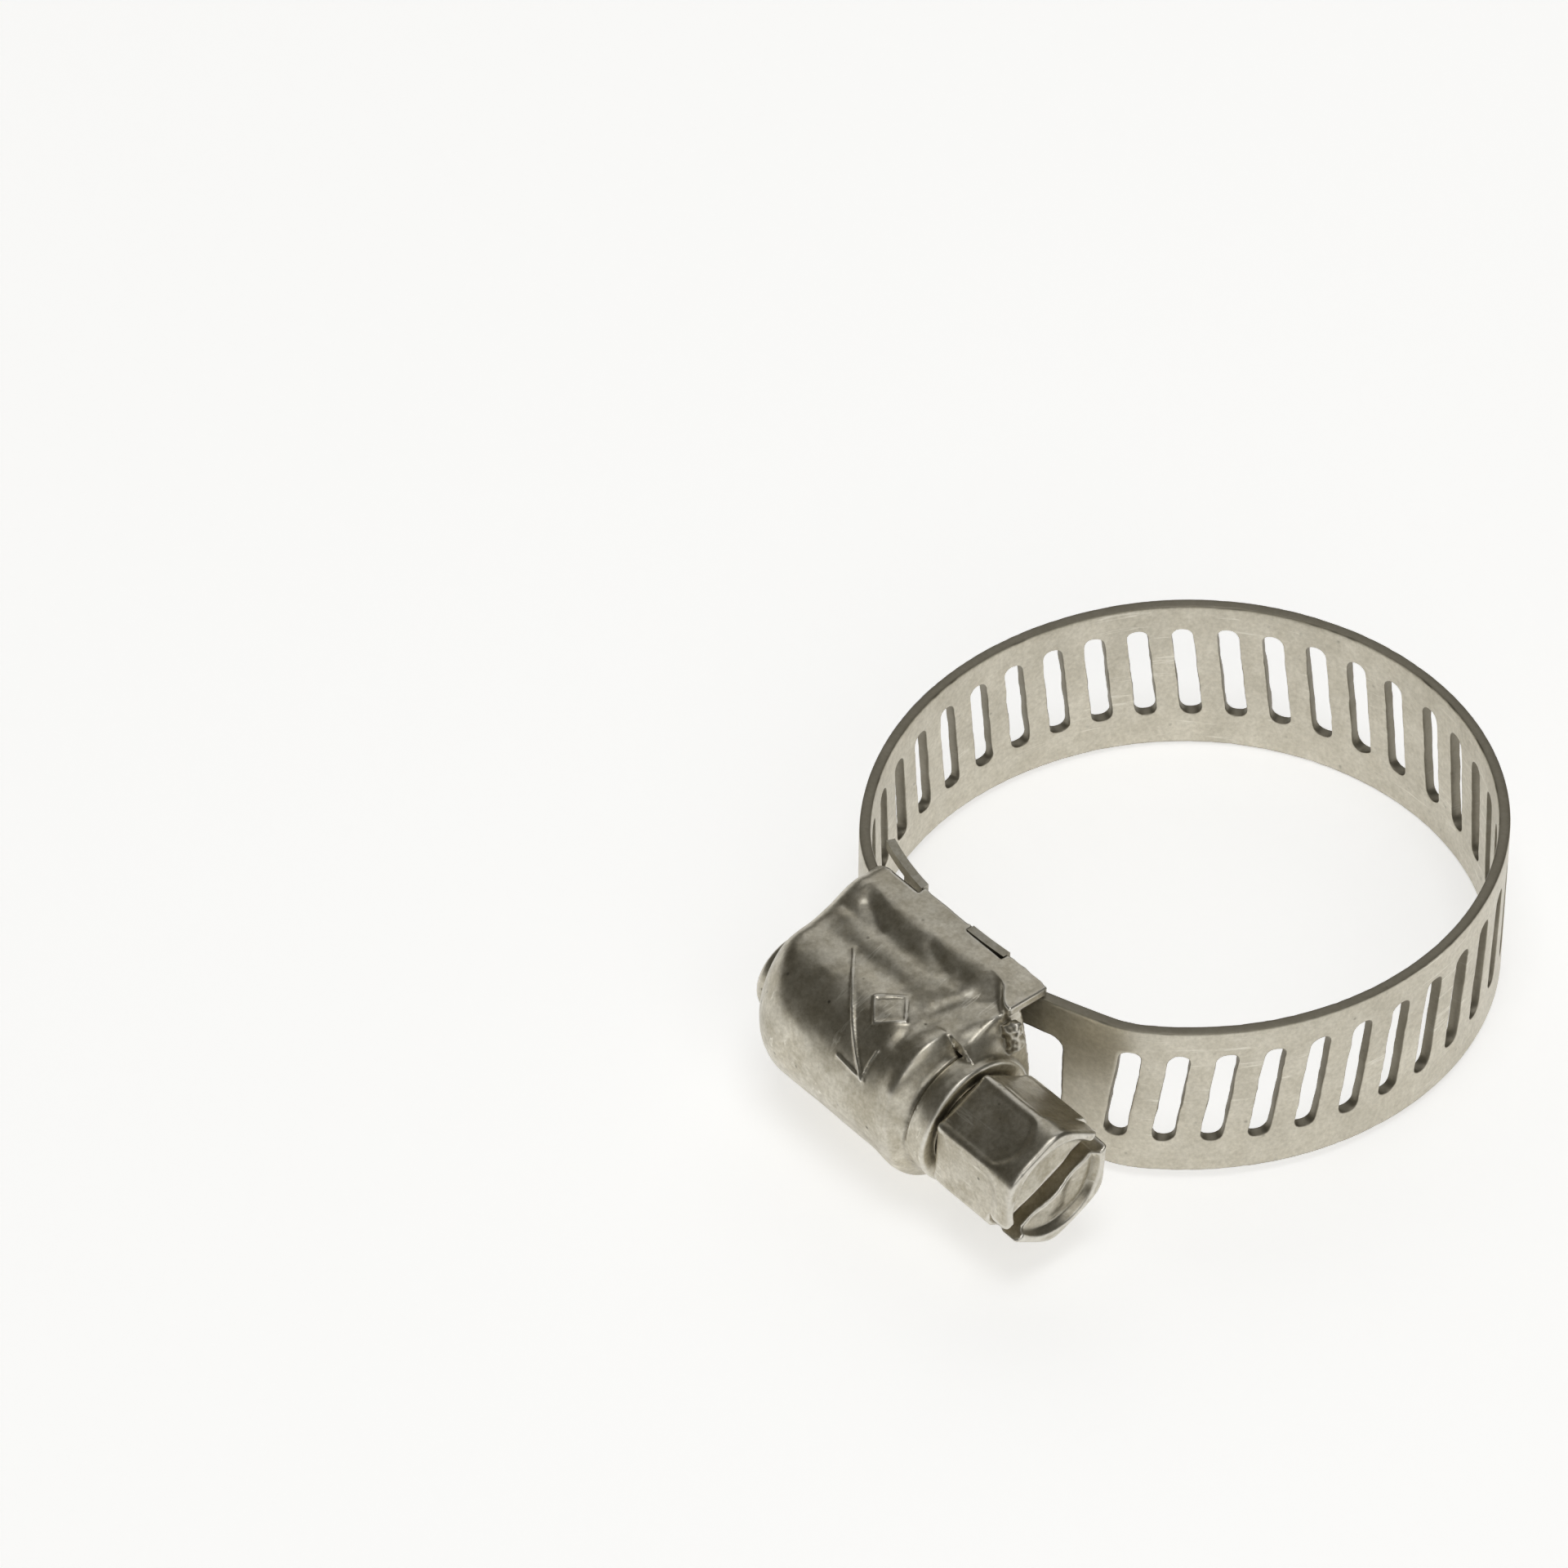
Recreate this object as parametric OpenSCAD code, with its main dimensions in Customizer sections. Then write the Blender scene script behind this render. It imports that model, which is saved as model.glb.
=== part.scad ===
// Worm-drive hose clamp of the small perforated-band type, fully opened.
// The bore axis is Z, the middle of the band's width is z = 0, the screw lies
// along X with its hex head towards +X, and the housing stands at -Y.

/* [Band] */
// Width of the steel strip
band_w = 8; // [7.5:0.1:8.5]
// Thickness of the steel strip
band_t = 0.5; // [0.45:0.01:0.52]
// Inner radius of the round far side, which is the bore
bore_r = 12.6; // [12.2:0.1:13]
// Distance between two slots along the strip, equal to the thread pitch
pitch = 2; // [1.9:0.05:2.1]
// Width of one slot
slot_w = 0.94; // [0.85:0.01:1]
// Length of one slot, with its round ends
slot_len = 4.9; // [4.4:0.1:5]
// Height of the row of slots over the middle of the strip
slot_lift = 0.2; // [0:0.05:0.25]
// Lean of the slots, which follows the thread
slot_lean = 7; // [5:1:9]
// Where the sliding end stops inside the housing
tail_x = 2.4; // [2:0.1:2.8]
// Length of the anchor window in the fixed end
window_len = 2.5; // [2:0.1:2.8]
// Width of the anchor window across the strip
window_w = 4.2; // [4:0.1:4.6]

/* [Screw] */
// Outer radius of the thread
thread_r = 3.1; // [3.05:0.01:3.12]
// Radius of the body under the thread
core_r = 2.45; // [2.3:0.05:2.6]
// Radius of the round neck behind the head
neck_r = 2.2; // [2:0.05:2.3]
// Radius of the round journal at the tip
tip_r = 2.05; // [1.8:0.05:2.1]
// Size of the hexagon across its flats
hex_af = 5.5; // [5.4:0.1:5.8]
// Length of the hexagon
head_len = 5; // [4:0.1:5.5]
// Width of the driver slot
driver_w = 1.2; // [0.8:0.1:1.4]
// Depth of the driver slot
driver_depth = 1.3; // [0.8:0.1:1.6]
// Turn of the head about its axis when the clamp is open
head_turn = 27.5; // [0:0.5:59.5]

/* [Housing] */
// Thickness of the housing sheet
shell_t = 0.48; // [0.4:0.01:0.5]
// Height of the side walls over the band
skirt_depth = 1.8; // [1.6:0.1:2]
// End of the housing where the free end goes in
mouth_x = -6.2; // [-6.4:0.1:-6]
// End of the side walls on the head's side
heel_x = 4.55; // [4.4:0.05:4.6]
// Outer radius of the collar around the neck
collar_r = 2.85; // [2.75:0.05:3]

/* [Saddle] */
// Thickness of the saddle plate
saddle_t = 0.38; // [0.36:0.01:0.4]
// Angle of the two fingers beside the mouth
finger_turn = 14; // [12:0.5:14.5]

/* [Hidden] */
$fn = 96;
steel = "#b4b0a3";
pale_steel = "#c3bfb2";
dark_steel = "#9c988c";
fit = 0.05;            // gap of a turning fit
side_gap = 0.12;       // gap between the band's edges and the side walls
eps = 0.01;

// layers in the housing, each measured at x = flex[0] from the bore axis to its inner face
saddle_y = bore_r;
fixed_y = saddle_y + saddle_t + 0.03;
free_y = 13.7;

// the strip flexes about one line at the far side
flex_a = -1.2;
flex_r = 0.22;
flex_gap = 0.05;
flex = (bore_r + band_t / 2) * normal(flex_a);

screw_y = -17.04;
chamber_r = thread_r + 0.08;
dome_t = 0.44;
dome_r = chamber_r + dome_t;
skirt_out = band_w / 2 + side_gap + shell_t;
skirt_in = band_w / 2 + side_gap;
dome_end = 2.9;
funnel_x = 3.5;
funnel_r = dome_r - 0.05;
collar_x = 5.3;
edge_r = 1.3;          // rounding all round the end at the tip
crown_r = 2;           // larger rounding of that end under the dome
head_x = collar_x + 0.06;
core_from = -5.45;
tip_reach = 0.35;      // how far the journal stands out before its chamfer
tip_out = 0.2;

// ---- plan of the strip: arcs given as [inner radius, first angle, last angle, centre] ----
// angles run clockwise from +Y, and the radii of the side and the corner close the outline

function normal(a) = [sin(a), cos(a)];
function turn(a, b) = normal(b) - normal(a);
function cross2(u, v) = u.x * v.y - u.y * v.x;
function close_with(u, v, gap) = [cross2(gap, v), cross2(u, gap)] / cross2(u, v);
function flex_side(side) = [side * flex.x, flex.y];
function layer_r(side, y) = flex.y + y;
function layer_a(side, y, x) = 180 - asin((x - flex_side(side).x) / layer_r(side, y));
function arcs(radii, angles, p, i = 0) = i == len(radii) ? [] :
    concat([[radii[i], angles[i], angles[i + 1], p - radii[i] * normal(angles[i])]],
           arcs(radii, angles, p + radii[i] * turn(angles[i], angles[i + 1]), i + 1));
function arc_len(s) = (s[2] - s[1]) * PI / 180 * (s[0] + band_t / 2);
function lengths(list, i = 0, sum = 0) = i == len(list) ? [sum] :
    concat([sum], lengths(list, i + 1, sum + arc_len(list[i])));
function arc_at(list, s) = let (l = lengths(list))
    min(len(list) - 1, len([for (i = [1 : len(list)]) if (l[i] <= s) 1]));
function angle_at(list, s) = let (i = arc_at(list, s), l = lengths(list))
    list[i][1] + (s - l[i]) / (list[i][0] + band_t / 2) * 180 / PI;
function point_at(list, s) = let (a = list[arc_at(list, s)])
    a[3] + (a[0] + band_t / 2) * normal(angle_at(list, s));

// fixed half: round far side, flatter side, a bend, a straight run, and a bend into the housing
fixed_end_x = -1.4;
fixed_in = layer_a(1, fixed_y, 2);
fixed_turns = [58, 137, 158, 161, fixed_in];
fixed_bend = 4.5;
fixed_run = 60;
fixed_gap = flex_side(1) + layer_r(1, fixed_y) * normal(fixed_in) - bore_r * normal(fixed_turns[0])
    - fixed_bend * turn(fixed_turns[1], fixed_turns[2]) - fixed_run * turn(fixed_turns[2], fixed_turns[3]);
fixed_close = close_with(turn(fixed_turns[0], fixed_turns[1]),
                         turn(fixed_turns[3], fixed_turns[4]), fixed_gap);
fixed_arcs = arcs([bore_r, fixed_close[0], fixed_bend, fixed_run, fixed_close[1], layer_r(1, fixed_y)],
    concat([flex_a], fixed_turns, [layer_a(1, fixed_y, fixed_end_x)]), bore_r * normal(flex_a));
fixed_first = 1.3;
fixed_slots = 17;
window_s = 37.3;

// free half, drawn in the mirrored plan: round far side, flatter side, corner, then the sliding end
free_in = layer_a(-1, free_y, 4);
free_turns = [66, 138, free_in];
free_gap = flex_side(-1) + layer_r(-1, free_y) * normal(free_in) - bore_r * normal(free_turns[0]);
free_close = close_with(turn(free_turns[0], free_turns[1]), turn(free_turns[1], free_turns[2]), free_gap);
free_arcs = arcs([bore_r, free_close[0], free_close[1], layer_r(-1, free_y)],
    concat([-flex_a], free_turns, [layer_a(-1, free_y, -tail_x)]), bore_r * normal(-flex_a));
free_first = 1;
free_slots = 22;

// the thread meets the sliding end where one of its slots lies
thread_x = -point_at(free_arcs, free_first + 20 * pitch).x;

// ---- outline of a strip: its inner edge forwards, its outer edge back ----

arc_step = 3;
bore_trim = 0.1;

function samples(s, step) = let (n = max(1, ceil((s[2] - s[1]) / step)))
    [for (i = [0 : n - 1]) s[1] + (s[2] - s[1]) * i / n];
function edge(list, off, step = arc_step) = let (e = list[len(list) - 1]) concat(
    [for (s = list, a = samples(s, step)) s[3] + (s[0] + off) * normal(a)],
    [e[3] + (e[0] + off) * normal(e[2])]);
// the far side's inner edge is left proud, so that the bore can be cut as a true cylinder
function bore_edge(list) = let (e = list[len(list) - 1], last = list[0][2]) concat(
    [for (s = list, a = samples(s, arc_step)) if (a < last + 4) (bore_r - bore_trim) * normal(a)],
    [for (s = list, a = samples(s, arc_step)) if (a > last + 8) s[3] + s[0] * normal(a)],
    [e[3] + e[0] * normal(e[2])]);
function backwards(list) = [for (i = [len(list) - 1 : -1 : 0]) list[i]];

module strip(list) {
    difference() {
        translate([0, 0, -band_w / 2]) linear_extrude(band_w)
            polygon(concat(bore_edge(list), backwards(edge(list, band_t))));
        cylinder(r = bore_r, h = 2 * band_w, center = true);
    }
}

module place_at(list, s) {
    p = point_at(list, s);
    translate([p.x, p.y, 0]) rotate(90 - angle_at(list, s)) children();
}

module round_slot(w, l) {
    cube([4 * band_t, w, l - w], center = true);
    for (z = [-1, 1]) translate([0, 0, z * (l - w) / 2]) rotate([0, 90, 0])
        cylinder(r = w / 2, h = 4 * band_t, center = true);
}

module slot_row(list, first, count, lean) {
    for (k = [0 : count - 1]) place_at(list, first + k * pitch)
        translate([0, 0, slot_lift]) rotate([-lean, 0, 0]) round_slot(slot_w, slot_len);
}

module window() {
    r = 0.6;
    half_y = window_len / 2 - r;
    half_z = window_w / 2 - r;
    cube([4 * band_t, window_len, 2 * half_z], center = true);
    cube([4 * band_t, 2 * half_y, window_w], center = true);
    for (y = [-half_y, half_y], z = [-half_z, half_z])
        translate([0, y, z]) rotate([0, 90, 0]) cylinder(r = r, h = 4 * band_t, center = true);
}

module band_fixed_half() {
    color(steel) difference() {
        union() {
            strip(fixed_arcs);
            translate([flex.x, flex.y, -band_w / 2]) cylinder(r = flex_r, h = band_w);
        }
        slot_row(fixed_arcs, fixed_first, fixed_slots, slot_lean);
        place_at(fixed_arcs, window_s) window();
    }
}

module band_free_half() {
    color(pale_steel) difference() {
        mirror([1, 0, 0]) difference() {
            strip(free_arcs);
            slot_row(free_arcs, free_first, free_slots, -slot_lean);
        }
        translate([flex.x, flex.y, -band_w]) cylinder(r = flex_r + flex_gap, h = 2 * band_w);
    }
}

// ---- saddle: the plate between the hose and the band, with ears hooked into the side walls ----

ear_mid = [-0.2, 2];
ear_tip_end = -3.3;
lip_x = -3;
lip_end_x = -4.7;
lip_r = 14;
saddle_end_x = 2.6;
saddle_r = flex.y + saddle_y;
saddle_a = [for (x = [saddle_end_x, lip_x]) 180 - asin((x - flex.x) / saddle_r)];
saddle_arcs = arcs([saddle_r, lip_r], concat(saddle_a, [saddle_a[1] + finger_turn]),
    flex + saddle_r * normal(saddle_a[0]));

module saddle() {
    reach = 2 * bore_r;
    color(dark_steel) difference() {
        translate([0, 0, -skirt_out]) linear_extrude(2 * skirt_out)
            polygon(concat(edge(saddle_arcs, 0, 1.5), backwards(edge(saddle_arcs, saddle_t, 1.5))));
        // between the ears the plate is as wide as the band
        for (x = [[ear_tip_end, ear_mid[0]], [ear_mid[1], saddle_end_x + 1]],
             z = [-reach - band_w / 2, band_w / 2])
            translate([x[0], -reach, z]) cube([x[1] - x[0], reach, reach]);
        // the free end comes in between the two fingers
        translate([lip_end_x - reach, -reach, -skirt_in]) cube([reach, reach, 2 * skirt_in]);
    }
}

// ---- loft: closed rings with equally many points, joined by flat faces ----

// an end of m points, filled across from its lowest point so that it may be hollow at the sides
function cap(m, low) = [for (k = [0 : floor(m / 2) - 1])
    let (a = (low - k + m) % m, b = low + k, c = b + 1, d = (low - k - 1 + m) % m)
    each concat(a == b ? [] : [[a, b, c]], c == d ? [] : [[a, c, d]])];

module loft(rings, low) {
    m = len(rings[0]);
    last = m * (len(rings) - 1);
    sides = [for (i = [0 : len(rings) - 2], j = [0 : m - 1]) let (a = m * i + j, b = m * i + (j + 1) % m)
        each [[a, b, b + m], [a, b + m, a + m]]];
    polyhedron([for (r = rings) each r],
               concat(sides, [for (t = cap(m, low)) [t[2], t[1], t[0]]],
                      [for (t = cap(m, low)) t + last * [1, 1, 1]]));
}

// ---- housing: side walls, dome over the thread, end wall at the tip, funnel and collar at the neck ----

dome_step = 5;
shoulder = 0.4;        // how far the dome's sides run on before they flare out to the side walls

// section across the screw: round over the thread, then flaring out to the side walls
function wall_ring(x, wide, deep, half, y0) = concat(
    [for (a = [0 : dome_step : 180]) [x, screw_y - deep * sin(a), -wide * cos(a)]],
    [for (q = [[screw_y + shoulder, wide], [-bore_r - skirt_depth, half], [y0, half],
               [y0, -half], [-bore_r - skirt_depth, -half], [screw_y + shoulder, -wide]]) [x, q[0], q[1]]]);

// the walls from x0 to x1; the end at x0 is rounded, more under the dome than at the sides
module wall_solid(x0, x1, r, half, y0, edge, crown) {
    loft(concat([for (a = [0 : 15 : 90])
                    let (dx = crown * (1 - cos(a)),
                         inset = edge - sqrt(edge * edge - pow(max(0, edge - dx), 2)))
                    wall_ring(x0 + dx, r - inset, r - crown * (1 - sin(a)), half - inset, y0)],
                [wall_ring(x1, r, r, half, y0)]), 90 / dome_step);
}

module screw_cylinder(r, x0, x1) {
    translate([x0, screw_y, 0]) rotate([0, 90, 0]) cylinder(r = r, h = x1 - x0);
}

module ear_notch(x) {
    for (side = [-1, 1])
        translate([x[0] - 0.06, -bore_r - saddle_t - 0.06, side > 0 ? skirt_in - 0.05 : -skirt_out - 1])
            cube([x[1] - x[0] + 0.12, 2, shell_t + 1.05]);
}

module housing() {
    color(steel) difference() {
        union() {
            wall_solid(mouth_x, dome_end, dome_r, skirt_out, -bore_r, edge_r, crown_r);
            // side walls run on to the heel
            for (z = [-skirt_out, skirt_in]) translate([dome_end - 1, -bore_r - skirt_depth, z])
                cube([heel_x - dome_end + 1, skirt_depth, shell_t]);
            // funnel and collar
            screw_cylinder(funnel_r, dome_end - 1, funnel_x);
            translate([funnel_x, screw_y, 0]) rotate([0, 90, 0])
                cylinder(r1 = funnel_r, r2 = collar_r, h = collar_x - 0.4 - funnel_x);
            screw_cylinder(collar_r, dome_end, collar_x);
        }
        wall_solid(mouth_x + dome_t, dome_end + 0.2, chamber_r, skirt_in, -bore_r + 1,
                   edge_r - dome_t, crown_r - dome_t);
        screw_cylinder(neck_r + fit, dome_end, collar_x + 1);
        screw_cylinder(tip_r + fit, mouth_x - 1, 0);
        // way for the strip under the screw
        translate([flex.x, flex.y, -skirt_in])
            cylinder(r = layer_r(1, free_y) + band_t + 0.12, h = 2 * skirt_in);
        ear_notch(ear_mid);
        ear_notch([mouth_x - 1, ear_tip_end]);
    }
}

// ---- screw: one piece, turned about X ----

thread_from = -4.6;
thread_turns = 3.6;
thread_steps = 28;
crest_w = 0.34;
root_w = 1;

function ridge_height(i, n) = min(1, i / 6, (n - i) / 6);
function ridge_ring(i, n) =
    let (a = 360 * i / thread_steps, x = pitch * i / thread_steps, h = ridge_height(i, n),
         top = core_r + (thread_r - core_r) * max(h, 0.1))
    [for (q = [[-root_w / 2, core_r - 0.2], [-crest_w / 2, top],
               [crest_w / 2, top], [root_w / 2, core_r - 0.2]])
        [x + q[0], q[1] * cos(a), q[1] * sin(a)]];

module thread_ridge() {
    n = round(thread_turns * thread_steps);
    loft([for (i = [0 : n]) ridge_ring(i, n)], 0);
}

module head() {
    across = hex_af / sqrt(3);
    bevel = 0.45;
    difference() {
        intersection() {
            rotate([0, 90, 0]) rotate(90 - head_turn) cylinder(r = across, h = head_len, $fn = 6);
            rotate([90, 0, 90]) rotate_extrude()
                polygon([[0, 0], [across - 0.35, 0], [across - 0.1, 0.25], [across - 0.1, head_len - bevel],
                         [across - 0.1 - bevel, head_len], [0, head_len]]);
        }
        // dished end
        translate([head_len - 0.35, 0, 0]) rotate([0, 90, 0]) cylinder(r = 2.3, h = 1);
        // driver slot, square to a pair of flats
        rotate([-head_turn - 30, 0, 0]) translate([head_len - driver_depth, -5, -driver_w / 2])
            cube([driver_depth + 1, 10, driver_w]);
    }
}

module worm_screw() {
    lead_x = thread_x - pitch * ceil((thread_x - thread_from) / pitch);
    color(dark_steel) {
        screw_cylinder(core_r, core_from, 3.05);
        screw_cylinder(tip_r, mouth_x - tip_reach, 0);
        translate([mouth_x - tip_reach - tip_out, screw_y, 0]) rotate([0, 90, 0])
            cylinder(r1 = tip_r - tip_out, r2 = tip_r, h = tip_out + eps);
        screw_cylinder(neck_r, 3, head_x + eps);
        translate([lead_x, screw_y, 0]) thread_ridge();
        translate([head_x, screw_y, 0]) head();
    }
}

housing();
saddle();
band_fixed_half();
band_free_half();
worm_screw();
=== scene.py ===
import math

import bpy
import numpy as np
from mathutils import Matrix, Vector


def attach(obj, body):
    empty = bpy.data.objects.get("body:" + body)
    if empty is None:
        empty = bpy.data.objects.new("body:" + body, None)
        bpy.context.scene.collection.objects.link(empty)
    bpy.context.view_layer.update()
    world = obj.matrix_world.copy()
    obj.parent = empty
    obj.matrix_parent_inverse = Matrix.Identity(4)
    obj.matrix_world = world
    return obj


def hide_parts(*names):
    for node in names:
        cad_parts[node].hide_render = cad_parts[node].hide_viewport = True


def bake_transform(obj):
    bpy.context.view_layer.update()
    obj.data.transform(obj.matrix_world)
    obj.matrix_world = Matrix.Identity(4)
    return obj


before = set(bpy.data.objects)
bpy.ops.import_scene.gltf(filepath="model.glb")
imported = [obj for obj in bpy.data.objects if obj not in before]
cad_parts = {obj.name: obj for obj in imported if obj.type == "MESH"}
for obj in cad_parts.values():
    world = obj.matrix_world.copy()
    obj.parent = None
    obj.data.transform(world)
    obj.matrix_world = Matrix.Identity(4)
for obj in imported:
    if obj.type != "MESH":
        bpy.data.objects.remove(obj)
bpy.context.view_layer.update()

MM = 0.001
COL = bpy.context.scene.collection

# sizes shared with the CAD model, in mm
BORE_R, BAND_T, BAND_W = 12.6, 0.5, 8.0
SCREW_Y = -17.04
HEAD_X, HEAD_LEN, HEX_AF = 5.36, 5.0, 5.5
HEX_TURN = 62.5


# ---------------------------------------------------------------- small helpers

def smooth(a, b, x):
    """0 below a, 1 above b, and smooth between."""
    t = np.clip((x - a) / (b - a), 0, 1)
    return t * t * (3 - 2 * t)


def smin(a, b, k):
    """The smaller of two distances, blended over k."""
    h = np.maximum(k - np.abs(a - b), 0)
    return np.minimum(a, b) - h * h / (4 * k)


def smax(a, b, k):
    """The larger of two distances, blended over k."""
    return -smin(-a, -b, k)


def bump(x, centre, width):
    """A bell of height 1."""
    return np.exp(-((x - centre) / width) ** 2)


def waves(p, freq, seed, count=6):
    """Smooth noise of about -1 to 1 from a few seeded sine waves."""
    rng = np.random.default_rng(seed)
    out = np.zeros(len(p))
    for _ in range(count):
        d = rng.normal(size=3)
        d *= freq * rng.uniform(0.6, 1.5) / np.linalg.norm(d)
        out += np.sin(p @ d + rng.uniform(0, 2 * math.pi))
    return out / math.sqrt(count / 2) / 1.6


def mesh_object(name, verts, faces, sharp_deg=None, attrs=None):
    """A mesh from vertices in mm and a list or array of faces."""
    me = bpy.data.meshes.new(name)
    me.from_pydata((np.asarray(verts, float) * MM).tolist(), [], [list(map(int, f)) for f in faces])
    me.validate()
    me.polygons.foreach_set("use_smooth", np.ones(len(me.polygons), bool))
    if sharp_deg:
        me.set_sharp_from_angle(angle=math.radians(sharp_deg))
    for key, values in (attrs or {}).items():
        at = me.attributes.new(key, "FLOAT", "POINT")
        at.data.foreach_set("value", np.asarray(values, np.float32))
    me.update()
    ob = bpy.data.objects.new(name, me)
    COL.objects.link(ob)
    return ob


def surface_net(f, lo, hi, h, steps=3):
    """Quads on the zero level of f, with the vertices moved onto it."""
    lo = np.array(lo, float)
    n = np.ceil((np.array(hi) - lo) / h).astype(int) + 1
    axes = [lo[i] + h * np.arange(n[i]) for i in range(3)]
    grid = np.stack(np.meshgrid(*axes, indexing="ij"), -1).reshape(-1, 3)
    v = np.concatenate([f(part) for part in np.array_split(grid, 12)]).reshape(n)
    inside = v < 0
    total = np.zeros(n - 1, int)
    for d in np.ndindex(2, 2, 2):
        total += inside[d[0]:n[0] - 1 + d[0], d[1]:n[1] - 1 + d[1], d[2]:n[2] - 1 + d[2]]
    active = (total > 0) & (total < 8)
    index = -np.ones(n - 1, int)
    index[active] = np.arange(active.sum())
    cells = np.argwhere(active)
    acc, cnt = np.zeros((len(cells), 3)), np.zeros(len(cells))
    for axis in range(3):
        for a, b in ((0, 0), (0, 1), (1, 0), (1, 1)):
            o0 = np.insert([a, b], axis, 0)
            o1 = np.insert([a, b], axis, 1)
            v0, v1 = v[tuple((cells + o0).T)], v[tuple((cells + o1).T)]
            cross = (v0 < 0) != (v1 < 0)
            p = (cells + o0).astype(float)
            p[:, axis] += np.where(cross, v0 / np.where(cross, v0 - v1, 1), 0)
            acc[cross] += p[cross]
            cnt[cross] += 1
    pts = lo + h * acc / cnt[:, None]
    quads = []
    for axis in range(3):
        a, b = (axis + 1) % 3, (axis + 2) % 3
        low = np.take(inside, range(n[axis] - 1), axis)
        high = np.take(inside, range(1, n[axis]), axis)
        e = np.argwhere(low != high)
        e = e[(e[:, a] > 0) & (e[:, b] > 0) & (e[:, a] < n[a] - 1) & (e[:, b] < n[b] - 1)]
        ea, eb = np.eye(3, dtype=int)[a], np.eye(3, dtype=int)[b]
        q = np.stack([index[tuple(c.T)] for c in (e - ea - eb, e - eb, e, e - ea)], 1)
        flip = ~low[tuple(e.T)]
        q[flip] = q[flip][:, ::-1]
        quads.append(q)
    quads = np.concatenate(quads)
    d = 0.01
    for _ in range(steps):
        v0 = f(pts)
        g = np.stack([(f(pts + d * e) - f(pts - d * e)) / (2 * d) for e in np.eye(3)], 1)
        move = -v0[:, None] * g / np.maximum((g * g).sum(1), 0.05)[:, None]
        size = np.linalg.norm(move, axis=1, keepdims=True)
        pts = pts + move * np.minimum(1, 0.6 * h / np.maximum(size, 1e-9))
    return pts, quads


def curvature(pts, quads):
    """Positive on convex edges and negative in hollows, per vertex, about -1 to 1."""
    n = len(pts)
    fn = np.cross(pts[quads[:, 2]] - pts[quads[:, 0]], pts[quads[:, 3]] - pts[quads[:, 1]])
    normal, total, cnt = np.zeros((n, 3)), np.zeros((n, 3)), np.zeros(n)
    for k in range(4):
        np.add.at(normal, quads[:, k], fn)
        np.add.at(total, quads[:, k], pts[quads[:, (k + 1) % 4]] + pts[quads[:, k - 1]])
        np.add.at(cnt, quads[:, k], 2)
    normal /= np.maximum(np.linalg.norm(normal, axis=1, keepdims=True), 1e-12)
    out = ((pts - total / cnt[:, None]) * normal).sum(1)
    for _ in range(3):
        acc = np.zeros(n)
        for k in range(4):
            np.add.at(acc, quads[:, k], out[quads[:, (k + 1) % 4]] + out[quads[:, k - 1]])
        out = 0.5 * out + 0.5 * acc / cnt
    return np.clip(out / 0.012, -1, 1)


# ---------------------------------------------------------------- path of the strip

def normal(a):
    """Unit vector in plan at an angle clockwise from +Y."""
    return np.array([math.sin(math.radians(a)), math.cos(math.radians(a))])


def turn(a, b):
    """What an arc of radius 1 covers from angle a to angle b."""
    return normal(b) - normal(a)


def close_with(u, v, gap):
    """The two lengths along u and v that add up to the gap."""
    c = u[0] * v[1] - u[1] * v[0]
    return (gap[0] * v[1] - gap[1] * v[0]) / c, (u[0] * gap[1] - u[1] * gap[0]) / c


class Path:
    """Half a strip as arcs (inner radius, first angle, last angle, centre)."""

    def __init__(self, radii, angles, start):
        self.arcs, p = [], np.array(start, float)
        for r, a0, a1 in zip(radii, angles, angles[1:]):
            self.arcs.append((r, a0, a1, p - r * normal(a0)))
            p = p + r * turn(a0, a1)
        lengths = [math.radians(a1 - a0) * (r + BAND_T / 2) for r, a0, a1, _ in self.arcs]
        self.ends = np.cumsum([0] + lengths)
        self.length = float(self.ends[-1])

    def at(self, s, t):
        """Plan points at arc length s and t outwards from the inner face."""
        i = np.clip(np.searchsorted(self.ends, s, side="right") - 1, 0, len(self.arcs) - 1)
        r = np.array([a[0] for a in self.arcs])[i]
        a = np.radians(np.array([a[1] for a in self.arcs])[i]) + (s - self.ends[i]) / (r + BAND_T / 2)
        c = np.array([a[3] for a in self.arcs])[i]
        return c + (r + t)[:, None] * np.stack([np.sin(a), np.cos(a)], 1)


# the line that the free half turns about, and the layers' distance beyond it
FLEX_A = -1.2
FIXED_Y, FREE_Y = 13.01, 13.7
FLEX_XY = (BORE_R + BAND_T / 2) * normal(FLEX_A)


def layer_a(side, y, x):
    """Angle at which a layer in the housing crosses x."""
    return 180 - math.degrees(math.asin((x - side * FLEX_XY[0]) / (FLEX_XY[1] + y)))


def fixed_path():
    r = FLEX_XY[1] + FIXED_Y
    t = [58, 137, 158, 161, layer_a(1, FIXED_Y, 2)]
    bend, run = 4.5, 60
    gap = (FLEX_XY + r * normal(t[4]) - BORE_R * normal(t[0])
           - bend * turn(t[1], t[2]) - run * turn(t[2], t[3]))
    side, corner = close_with(turn(t[0], t[1]), turn(t[3], t[4]), gap)
    return Path([BORE_R, side, bend, run, corner, r], [FLEX_A] + t + [layer_a(1, FIXED_Y, -1.4)],
                BORE_R * normal(FLEX_A))


def free_path():
    flex = np.array([-FLEX_XY[0], FLEX_XY[1]])
    r = FLEX_XY[1] + FREE_Y
    t = [66, 138, layer_a(-1, FREE_Y, 4)]
    gap = flex + r * normal(t[2]) - BORE_R * normal(t[0])
    side, corner = close_with(turn(t[0], t[1]), turn(t[1], t[2]), gap)
    return Path([BORE_R, side, corner, r], [-FLEX_A] + t + [layer_a(-1, FREE_Y, -2.4)],
                BORE_R * normal(-FLEX_A))


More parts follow.
